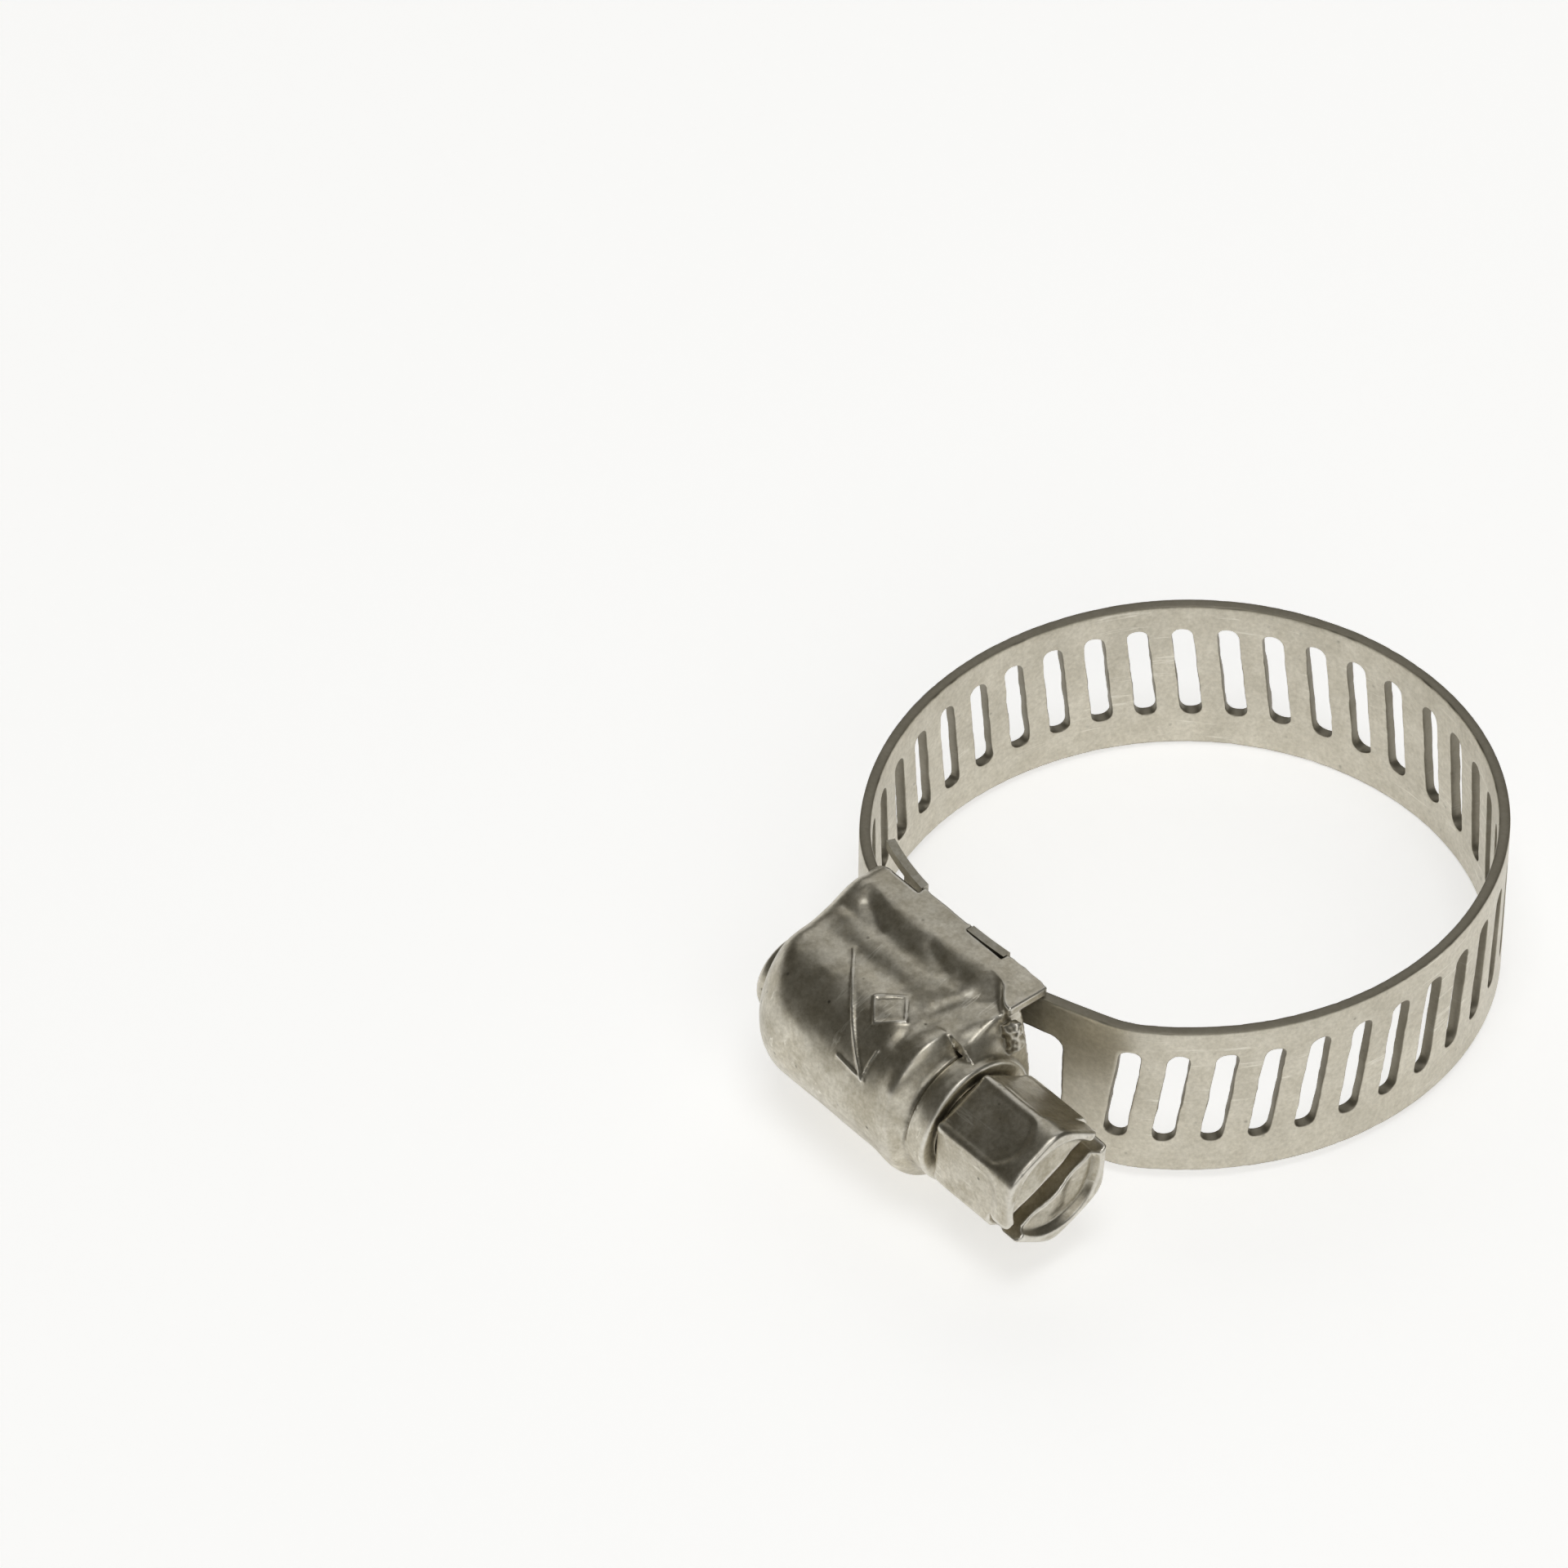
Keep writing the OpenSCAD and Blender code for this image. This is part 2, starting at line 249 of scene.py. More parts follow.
# ---------------------------------------------------------------- strip with slots

PITCH, SLOT_W, SLOT_L, SLOT_LIFT, LEAN = 2.0, 0.94, 4.9, 0.2, math.tan(math.radians(7))
ARC_N, SIDE_N = 16, 14          # points across a cell's end and along its side
CELL_Z = [1.9, 2.35, 2.72, 3.0]
SIDE_Z = [CELL_Z[0] * (1 - 2 * k / SIDE_N) for k in range(1, SIDE_N)]
CELL_ROWS = CELL_Z[::-1] + SIDE_Z + [-z for z in CELL_Z]
FLAT_N = ARC_N - 2 * (len(CELL_Z) - 1)
RIM_Z = [3.0, 3.25, 3.5, 3.72, 3.88]
END_Z = [3.88, 3.7, 3.4, 3.05]
# the rounded edge of the strip as (z, t)
EDGE = [(3.965, 0.03), (3.99, 0.08), (4.0, 0.25), (3.99, 0.42), (3.96, 0.475)]
# wall of an opening as (t, how far it stands back)
LEVELS = [(0.0, 0.05), (0.02, 0.015), (0.06, 0.0), (0.44, 0.0), (0.48, 0.02), (0.5, 0.07)]


def hole_loop(half_w, half_l, r):
    """Points of a round-cornered opening, counter-clockwise from the right-hand straight side's top."""
    q = ARC_N // 4
    angles = [k * math.pi / 2 / q for k in range(q + 1)]
    top = [(half_w - r + r * math.cos(a), half_l - r + r * math.sin(a)) for a in angles]
    flat = ARC_N - 2 * q
    for k in range(1, flat):
        top.append(((half_w - r) * (1 - 2 * k / flat), half_l))
    top += [(-x, z) for x, z in reversed(top[:q + 1])]
    side = [(-half_w, (half_l - r) * (1 - 2 * k / SIDE_N)) for k in range(1, SIDE_N)]
    half = top + side
    return half + [(-x, -z) for x, z in half]


def slot_loop():
    return [(x, z + SLOT_LIFT) for x, z in hole_loop(SLOT_W / 2, SLOT_L / 2, 0.4)]


def rect_loop(half_w):
    """Points of a cell's border, in step with those of hole_loop."""
    side_up = [(half_w, z) for z in CELL_Z]
    top = [(half_w * (1 - 2 * k / FLAT_N), CELL_Z[-1]) for k in range(1, FLAT_N)]
    arc = side_up + top + [(-x, z) for x, z in reversed(side_up)]
    side = [(-half_w, z) for z in SIDE_Z]
    half = arc + side
    return half + [(-x, -z) for x, z in half]


class Strip:
    """Collects the faces of a flat strip in (s, z, t) and bends it along a path."""

    def __init__(self, path, mirror, lean):
        self.path, self.mirror, self.lean = path, mirror, lean
        self.keys, self.flat, self.faces = {}, [], []

    def vert(self, s, z, t, cut=0.0, rag=0.0):
        key = (round(s, 5), round(z, 5), round(t, 5))
        if key not in self.keys:
            self.keys[key] = len(self.flat)
            self.flat.append((s, z, t, cut, rag))
        return self.keys[key]

    def quad(self, corners):
        ids = [self.vert(*c) for c in corners]
        ids = [v for i, v in enumerate(ids) if v != ids[i - 1]]
        if len(ids) > 2:
            self.faces.append(ids)

    def sheet(self, loop_a, loop_b, s0):
        """Both skins between two loops."""
        n = len(loop_a)
        for t, back in ((0.0, False), (BAND_T, True)):
            for i in range(n):
                j = (i + 1) % n
                q = [(s0 + loop_a[i][0], loop_a[i][1], t), (s0 + loop_b[i][0], loop_b[i][1], t),
                     (s0 + loop_b[j][0], loop_b[j][1], t), (s0 + loop_a[j][0], loop_a[j][1], t)]
                self.quad(q[::-1] if back else q)

    def cell(self, s0, s1, centre, make_loop, lean=None):
        """A cell from s0 to s1 with an opening, whose walls are rounded at both skins."""
        half = (s1 - s0) / 2
        mid = (s0 + s1) / 2
        rect = rect_loop(half)
        shift = centre - mid
        slope = self.lean if lean is None else lean

        def leaned(loop, grow):
            out = []
            for x, z in loop:
                k = np.array([x, z * 0.5])
                k = k / max(np.linalg.norm(k), 1e-9)
                out.append((x + shift - slope * z + grow * k[0], z + grow * k[1]))
            return out

        base = make_loop()
        outer, inner = leaned(base, LEVELS[-1][1]), leaned(base, LEVELS[0][1])
        n = len(rect)
        for t, loop, back in ((0.0, inner, False), (BAND_T, outer, True)):
            for w0, w1 in ((0.0, 0.2), (0.2, 0.55), (0.55, 1.0)):
                for i in range(n):
                    j = (i + 1) % n

                    def mix(k, w):
                        return (mid + loop[k][0] * (1 - w) + rect[k][0] * w,
                                loop[k][1] * (1 - w) + rect[k][1] * w, t, 0.0, 1 - w)

                    q = [mix(i, w0), mix(i, w1), mix(j, w1), mix(j, w0)]
                    self.quad(q[::-1] if back else q)
        for (t0, g0), (t1, g1) in zip(LEVELS, LEVELS[1:]):
            a, b = leaned(base, g0), leaned(base, g1)
            for i in range(n):
                j = (i + 1) % n
                wall = [(a[i], t0), (a[j], t0), (b[j], t1), (b[i], t1)]
                self.quad([(mid + x, z, t, 1.0, 1.0) for (x, z), t in wall])
        self.margin([s1 + (s0 - s1) * k / FLAT_N for k in range(FLAT_N + 1)][::-1])

    def margin(self, stations):
        """The strip above and below the openings, with its cut edges."""
        for sign in (1, -1):
            for a, b in zip(stations, stations[1:]):
                rows = [(z, 0.0, 0.0) for z in RIM_Z]
                rows += [(z, t, 1.0) for z, t in EDGE]
                rows += [(z, BAND_T, 0.0) for z in RIM_Z[::-1]]
                for (z0, t0, c0), (z1, t1, c1) in zip(rows, rows[1:]):
                    q = [(a, sign * z0, t0, c0), (b, sign * z0, t0, c0),
                         (b, sign * z1, t1, c1), (a, sign * z1, t1, c1)]
                    self.quad(q if sign > 0 else q[::-1])

    def plain(self, s0, s1, step=0.34):
        """A stretch with no opening."""
        n = max(1, round((s1 - s0) / step))
        stations = [s0 + (s1 - s0) * k / n for k in range(n + 1)]
        for a, b in zip(stations, stations[1:]):
            for z0, z1 in zip(CELL_ROWS, CELL_ROWS[1:]):
                for t, back in ((0.0, False), (BAND_T, True)):
                    q = [(a, z1, t), (b, z1, t), (b, z0, t), (a, z0, t)]
                    self.quad(q[::-1] if back else q)
        self.margin(stations)

    def end(self, s, sign):
        """Closes the strip where it ends."""
        zs = END_Z + CELL_ROWS + [-z for z in END_Z[::-1]]
        for z0, z1 in zip(zs, zs[1:]):
            q = [(s, z0, 0.0), (s, z1, 0.0), (s, z1, BAND_T), (s, z0, BAND_T)]
            self.quad(q if sign > 0 else q[::-1])
        for side in (1, -1):
            ring = [(END_Z[0], 0.0)] + EDGE + [(END_Z[0], BAND_T)]
            ids = [self.vert(s, side * z, t) for z, t in ring]
            self.faces.append(ids if (side > 0) == (sign > 0) else ids[::-1])

    def build(self, name):
        flat = np.array(self.flat)
        s, z, t, cut, rag = flat.T
        # the punch leaves its openings a little ragged
        q = np.column_stack([s, z, 2.0 * t])
        tear = np.clip(waves(q, 2.2, 44) - 0.75, 0, 1) * 0.10
        s = s + rag * (0.020 * waves(q, 5.0, 41) + 0.012 * waves(q, 13.0, 42))
        z = z + rag * (0.022 * waves(q, 5.0, 43) + tear * np.sign(-z))
        xy = self.path.at(s, t)
        if self.mirror:
            xy[:, 0] *= -1
        p = np.column_stack([xy, z])
        rough = waves(p, 9.0, 5) * 0.6 + waves(p, 23.0, 6) * 0.4
        edge = np.abs(z) > 3.93
        p[:, 2] -= np.sign(z) * edge * np.maximum(rough, 0) * 0.025
        faces = self.faces if self.mirror else [f[::-1] for f in self.faces]
        return mesh_object(name, p, faces, sharp_deg=38, attrs={"cut": cut})


def slot_cells(first, count):
    return [(first + k * PITCH - PITCH / 2, first + k * PITCH + PITCH / 2) for k in range(count)]


SPLIT = 10                      # slots of each half that belong to the far side
WINDOW = (35.6, 39.0)           # where the wide opening's cell starts and ends
WINDOW_W, WINDOW_L = 2.5, 4.2
FIX, FREE = fixed_path(), free_path()


def add_slots(strip, cells, skip_to=0, stop=None):
    for s0, s1 in cells[skip_to:stop]:
        strip.cell(s0, s1, (s0 + s1) / 2, slot_loop)


def window_loop():
    return hole_loop(WINDOW_W / 2, WINDOW_L / 2, 0.6)


fixed_cells, free_cells = slot_cells(1.3, 17), slot_cells(1.0, 22)

lower_fixed = Strip(FIX, False, LEAN)
add_slots(lower_fixed, fixed_cells, SPLIT)
lower_fixed.plain(fixed_cells[-1][1], WINDOW[0])
lower_fixed.cell(*WINDOW, sum(WINDOW) / 2, window_loop, 0.0)
lower_fixed.plain(WINDOW[1], FIX.length)
lower_fixed.end(FIX.length, 1)
band_fixed = lower_fixed.build("band_fixed_end")

lower_free = Strip(FREE, True, -LEAN)
add_slots(lower_free, free_cells, SPLIT)
lower_free.plain(free_cells[-1][1], FREE.length)
lower_free.end(FREE.length, 1)
band_free = lower_free.build("band_sliding_end")

far_fixed = Strip(FIX, False, LEAN)
far_fixed.plain(0, fixed_cells[0][0])
add_slots(far_fixed, fixed_cells, 0, SPLIT)
far_free = Strip(FREE, True, -LEAN)
add_slots(far_free, free_cells, 0, SPLIT)
band_far, far_b = far_fixed.build("band_far_side"), far_free.build("far_b")
bpy.context.view_layer.update()
with bpy.context.temp_override(active_object=band_far, selected_editable_objects=[band_far, far_b],
                               selected_objects=[band_far, far_b], object=band_far):
    bpy.ops.object.join()


# ---------------------------------------------------------------- screw

TIP_R, TIP_END, CORE_R, NECK_R = 2.02, 6.74, 2.42, 2.18
THREAD_X, THREAD_H = 0.9165, 0.64
SLOT_HALF, SLOT_DEPTH = 0.6, 1.28
SCREW_GRID, HOUSING_GRID = 0.085, 0.08


def screw_field(p):
    x, y, z = p[:, 0], p[:, 1] - SCREW_Y, p[:, 2]
    r = np.hypot(y, z)
    phi = np.arctan2(z, y)
    # journal at the tip, with a rounded end
    tip = smax(r - TIP_R - 0.02 * np.sin(3 * phi), -TIP_END + 0.015 * r * r - x, 0.25)
    tip = np.maximum(tip, x + 4.0)
    core = np.maximum(r - CORE_R, np.maximum(-5.4 - x, x - 3.0))
    wave = (x - THREAD_X - PITCH * (math.pi / 2 - phi) / (2 * math.pi) * -1) % PITCH
    lead = np.abs(wave - PITCH / 2)
    crest = smooth(-4.4, -3.7, x) * (1 - smooth(1.5, 2.1, x))
    ridge = np.maximum(r - CORE_R - THREAD_H * crest, 0.6 * (lead - 0.17 - 0.5 * np.maximum(3.06 - r, 0)))
    ridge = np.maximum(ridge, np.maximum(-4.9 - x, x - 2.6))
    neck = np.maximum(r - NECK_R, np.maximum(2.8 - x, x - HEAD_X - 0.5))
    body = smin(np.minimum(np.minimum(tip, core), ridge), neck, 0.1)
    return np.minimum(body, head_field(p))


def head_field(p):
    """The hexagon with its dished end and driver slot."""
    x, y, z = p[:, 0] - HEAD_X, p[:, 1] - SCREW_Y, p[:, 2]
    r = np.hypot(y, z)
    d = np.full(len(p), -9.0)
    for k in range(6):
        a = math.radians(HEX_TURN + 60 * k)
        n = (-math.cos(a), math.sin(a))
        u, v = y * n[0] + z * n[1], -y * n[1] + z * n[0]
        # the flats are sunk a little, with a run-out under the rim at the end
        reach = 4.25 - 0.32 * v * v
        sunk = 0.15 * smooth(reach + 0.15, reach - 0.45, x) * (1 - smooth(1.05, 1.6, np.abs(v)))
        sunk = sunk + 0.05 * (1 - smooth(0.2, 0.9, x)) + 0.012 * waves(p, 3.0, 51 + k)
        d = smax(d, u - HEX_AF / 2 + sunk, 0.22)
    rim = r - 3.0 - 0.02 * np.sin(3 * np.arctan2(z, y) + 1)
    d = smax(d, rim, 0.25)
    d = smax(d, x - HEAD_LEN + 0.02 * waves(p, 2.0, 8), 0.3)
    d = smax(d, 0.06 - x, 0.35)
    dish = 0.38 * (1 - smooth(2.15, 2.5, r)) - 0.10 * (1 - smooth(0.2, 1.6, r))
    dish = dish + 0.07 * waves(p, 3.4, 11) * (1 - smooth(1.6, 2.3, r))
    d = smax(d, x - HEAD_LEN + dish, 0.08)
    # driver slot
    a = math.radians(HEX_TURN)
    m = y * math.cos(a) * -1 + z * math.sin(a)
    m = m + 0.02 * waves(p, 2.5, 13)
    slot = smax(np.abs(m) - SLOT_HALF, HEAD_LEN - SLOT_DEPTH - x, 0.2)
    return smax(d, -slot, 0.08)


pts, quads = surface_net(screw_field, (-7.0, SCREW_Y - 3.4, -3.4), (10.6, SCREW_Y + 3.4, 3.4), SCREW_GRID)
# the curvature attribute drives painted shade in hollows and lighter edges, partly painted highlight, in the
# steel material
screw = mesh_object("clamp_screw", pts, quads, attrs={"edge_wear_sheen_and_cavity_shade": curvature(pts, quads)})


# ---------------------------------------------------------------- housing

SHEET_T = 0.44
SIDE_LIMIT = 4.595
END_X, COLLAR_R, COLLAR_X, COLLAR_END = 6.14, 2.98, 4.15, 5.24
NECK_HOLE_R, TIP_HOLE_R = 2.24, 2.09
WALL_MID, WALL_HALF = 4.35, 0.22
HOSE_EDGE_Y = -12.64
CHANNEL_R, CHANNEL_HALF = 27.17, 4.12


def rmax(a, b, r):
    """The larger of two distances, with the edge between them rounded to r."""
    return np.minimum(np.maximum(a, b), -r) + np.hypot(np.maximum(a + r, 0), np.maximum(b + r, 0))


def near(p, line):
    """Distance from each point to a line of straight pieces."""
    line = np.array(line, float)
    best = np.full(len(p), 1e9)
    for a, b in zip(line, line[1:]):
        ab = b - a
        if ab @ ab < 1e-9:
            continue
        t = np.clip((p - a) @ ab / (ab @ ab), 0, 1)
        best = np.minimum(best, ((p - a - t[:, None] * ab) ** 2).sum(1))
    return np.sqrt(best)


def on_dome(x, deg, r=3.6):
    """A point on the dome; 0 degrees faces away from the hose and 90 degrees faces up."""
    return (x, SCREW_Y - r * math.cos(math.radians(deg)), r * math.sin(math.radians(deg)))


def dome_line(x0, a0, x1, a1, count=6):
    return [on_dome(x0 + (x1 - x0) * k / count, a0 + (a1 - a0) * k / count) for k in range(count + 1)]


def dome_radius(x, top):
    shift = 0.5 * (1 - top)
    x = x - shift
    return (3.56 - 0.60 * smooth(3.15, 4.0, x) + 0.035 * bump(x, 3.0, 0.4)
            - 0.07 * bump(x, 4.0, 0.26) * top + 0.05 * bump(x, 4.6, 0.3))


def side_height(x, yc):
    """Height of the sheet's outer face above the middle, from the dome's side to the side wall."""
    crease = 2.15 + 0.07 * np.maximum(x + 1.0, 0) ** 1.5
    low = 3.56 + 0.5 * smooth(0.0, 2.2, yc) * (1 - 0.15 * smooth(1, 4, x))
    return low + (4.56 - low) * smooth(crease - 0.75, crease + 0.85, yc)


# folds and pressed lines in the sheet: [points, depth (below 0 is raised), width]
HEEL = (4.5, -14.7, 4.5)
MARK_WIDTH = 0.1                # narrower lines belong to the pressed mark, on the upper side only
FOLDS = [
    ([(4.2, -13.7, 4.6), (3.5, -14.3, 4.5), (2.6, -15.4, 4.1), (2.05, -16.5, 3.7), (1.95, -17.4, 3.55),
      on_dome(2.1, 62)],
     0.13, 0.46),
    ([HEEL, (4.0, -15.4, 4.1), (3.45, -16.6, 3.62), (3.1, -18.0, 3.45), on_dome(3.0, 50), on_dome(3.1, 36)],
     -0.10, 0.55),
    ([(4.5, -15.1, 3.6), (3.95, -16.3, 3.3), on_dome(3.95, 80, 3.1), on_dome(3.95, 50, 3.1),
      on_dome(4.1, 20, 3.1)],
     0.09, 0.32),
    ([(-4.5, -14.6, 4.45), (-3.4, -15.1, 4.1), (-1.3, -15.2, 4.05), (0.3, -14.9, 4.18), (1.3, -14.8, 4.16)],
     0.10, 0.50),
    ([(-4.6, -15.9, 3.9), (-3.3, -16.2, 3.75), (-0.9, -16.1, 3.76), (0.8, -16.2, 3.74)], -0.05, 0.50),
    ([(-4.3, -14.9, 4.3), (-3.0, -15.4, 4.0)], 0.11, 0.28),
    ([(-0.6, -14.6, 4.4), (0.6, -15.0, 4.1)], 0.06, 0.35),
    # a plain pressed mark: an arrow and a lozenge
    (dome_line(-3.1, 96, 1.5, 27), -0.075, 0.085),
    (dome_line(1.5, 27, -0.1, 30), -0.075, 0.08),
    (dome_line(1.5, 27, 1.5, 50), -0.075, 0.08),
    (dome_line(-0.5, 78, 0.5, 63) + dome_line(0.5, 63, 1.5, 78) + dome_line(1.5, 78, 0.5, 93)
     + dome_line(0.5, 93, -0.5, 78), -0.07, 0.085),
]


def housing_field(p):
    """The drawn sheet: skirt, dome and funnel, with its folds, holes and openings."""
    x, y, z = p[:, 0], p[:, 1], p[:, 2]
    yc, az = y - SCREW_Y, np.abs(z)
    m = np.column_stack([x, y, az])
    r = np.hypot(yc, az)
    top = smooth(-0.5, 0.6, z / np.maximum(r, 0.5))
    dome = r - dome_radius(x, top)
    open_side = 1 - smooth(4.1, 5.05, x)
    hull = np.where(yc > 0, az - side_height(x, yc), dome)
    hull = hull * open_side + dome * (1 - open_side)
    # hand-drawn unevenness of the sheet
    hull = hull + 0.030 * waves(p, 0.9, 21) + 0.014 * waves(p, 2.4, 22) + 0.004 * waves(p, 9.0, 23)
    skin = (hull > -0.75) & (hull < 0.45)
    fold = np.zeros(len(p))
    for line, depth, width in FOLDS:
        mark = width < MARK_WIDTH
        pick = skin & ((z if mark else az) > 0.5)
        q = p[pick] if mark else m[pick]
        fold[pick] += depth * np.exp(-(near(q, line) / width) ** 2)
    outer = hull + fold
    end_r = 1.15 + 0.9 * smooth(-0.8, -3.2, yc) + 0.35 * smooth(-0.5, -3.6, yc)
    outer = rmax(outer, -END_X - x + 0.10 * smooth(1.5, -2.0, yc), end_r)
    sheet = rmax(outer, -(outer + SHEET_T), 0.06)
    # side walls that run on to the heel
    wall = np.maximum(np.abs(az - WALL_MID) - WALL_HALF, np.maximum(x - 4.53, 2.4 - x))
    wall = rmax(wall, -14.72 + 0.05 * waves(p, 1.8, 31) + 1.2 * smooth(4.4, 2.4, x) - y, 0.08)
    sheet = smin(sheet, wall, 0.45)
    # collar
    ring = np.maximum(r - COLLAR_R + 0.03 * np.sin(3 * np.arctan2(z, yc) + 1), COLLAR_X - x)
    sheet = smin(sheet, ring, 0.12)
    lump = np.sqrt(((p - (4.8, -14.75, 3.2)) ** 2 * (1.2, 1.3, 0.42)).sum(1)) - 0.52
    lump = lump + 0.10 * waves(p, 5.0, 34) + 0.04 * waves(p, 14.0, 35)
    sheet = smin(sheet, lump, 0.18)
    rim = x - COLLAR_END + 0.05 * np.sin(2 * np.arctan2(z, yc) + 0.5) + 0.02 * waves(p, 2.5, 36)
    sheet = rmax(sheet, rim, 0.16)
    # holes for the neck and the tip
    sheet = rmax(sheet, -np.maximum(r - NECK_HOLE_R, 2.9 - x), 0.05)
    sheet = rmax(sheet, -np.maximum(r - TIP_HOLE_R, x + 4.6), 0.05)
    # hose side edge, with small burrs
    burr = (0.06 * bump(x, -3.25, 0.20) + 0.08 * bump(x, 1.35, 0.16)
            + 0.05 * bump(x, -0.35, 0.12) + 0.04 * bump(x, 3.1, 0.2))
    edge_y = HOSE_EDGE_Y + 0.02 * waves(p, 3.0, 33) + burr
    sheet = rmax(sheet, y - edge_y + 0.35 * smooth(-5.2, -6.2, x), 0.08)
    # way for the strip under the screw
    bend = np.hypot(x - FLEX_XY[0], y - FLEX_XY[1])
    sheet = np.maximum(sheet, -np.maximum(bend - CHANNEL_R, az - CHANNEL_HALF))
    # openings for the saddle's ears
    for x0, x1 in ((-7.0, -3.26), (-0.23, 2.03)):
        ear = np.maximum(np.maximum(x0 - x, x - x1), np.maximum(-13.0 - y, 4.07 - az))
        sheet = np.maximum(sheet, -np.maximum(ear, az - 9))
    return sheet


pts, quads = surface_net(housing_field, (-6.5, -20.9, -4.8), (5.6, -12.3, 4.8), HOUSING_GRID)
# the side walls' unevenness would pass the CAD box, so it is cut flat there
pts[:, 2] = np.clip(pts[:, 2], -SIDE_LIMIT, SIDE_LIMIT)
# the curvature attribute drives painted shade in the creases and lighter edges, partly painted highlight, in
# the steel material
housing = mesh_object("clamp_housing", pts, quads, attrs={"edge_wear_sheen_and_cavity_shade": curvature(pts, quads)})


# ---------------------------------------------------------------- steel

def ramp(tree, fac, stops):
    n = tree.nodes.new("ShaderNodeValToRGB")
    e = n.color_ramp.elements
    while len(e) < len(stops):
        e.new(0.5)
    for i, (pos, c) in enumerate(stops):
        e[i].position = pos
        e[i].color = (c, c, c, 1) if isinstance(c, float) else (*c, 1)
    tree.links.new(fac, n.inputs["Fac"])
    return n.outputs["Color"]


def mix(tree, a, b, fac, kind="MIX"):
    n = tree.nodes.new("ShaderNodeMix")
    n.data_type = "RGBA"
    n.blend_type = kind
    for value, sock in ((fac, n.inputs["Factor"]), (a, n.inputs[6]), (b, n.inputs[7])):
        if isinstance(value, bpy.types.NodeSocket):
            tree.links.new(value, sock)
        elif isinstance(value, tuple):
            sock.default_value = (*value, 1)
        else:
            sock.default_value = value
    return n.outputs[2]


def noise(tree, coord, scale, detail=4.0, rough=0.55, stretch=None):
    vec = coord
    if stretch:
        m = tree.nodes.new("ShaderNodeMapping")
        m.inputs["Scale"].default_value = stretch
        tree.links.new(coord, m.inputs["Vector"])
        vec = m.outputs["Vector"]
    n = tree.nodes.new("ShaderNodeTexNoise")
    n.inputs["Scale"].default_value = scale
    n.inputs["Detail"].default_value = detail
    n.inputs["Roughness"].default_value = rough
    tree.links.new(vec, n.inputs["Vector"])
    return n.outputs["Fac"]


def math_node(tree, op, a, b=0.0):
    n = tree.nodes.new("ShaderNodeMath")
    n.operation = op
    for value, sock in ((a, n.inputs[0]), (b, n.inputs[1])):
        if isinstance(value, bpy.types.NodeSocket):
            tree.links.new(value, sock)
        else:
            sock.default_value = value
    return n.outputs[0]


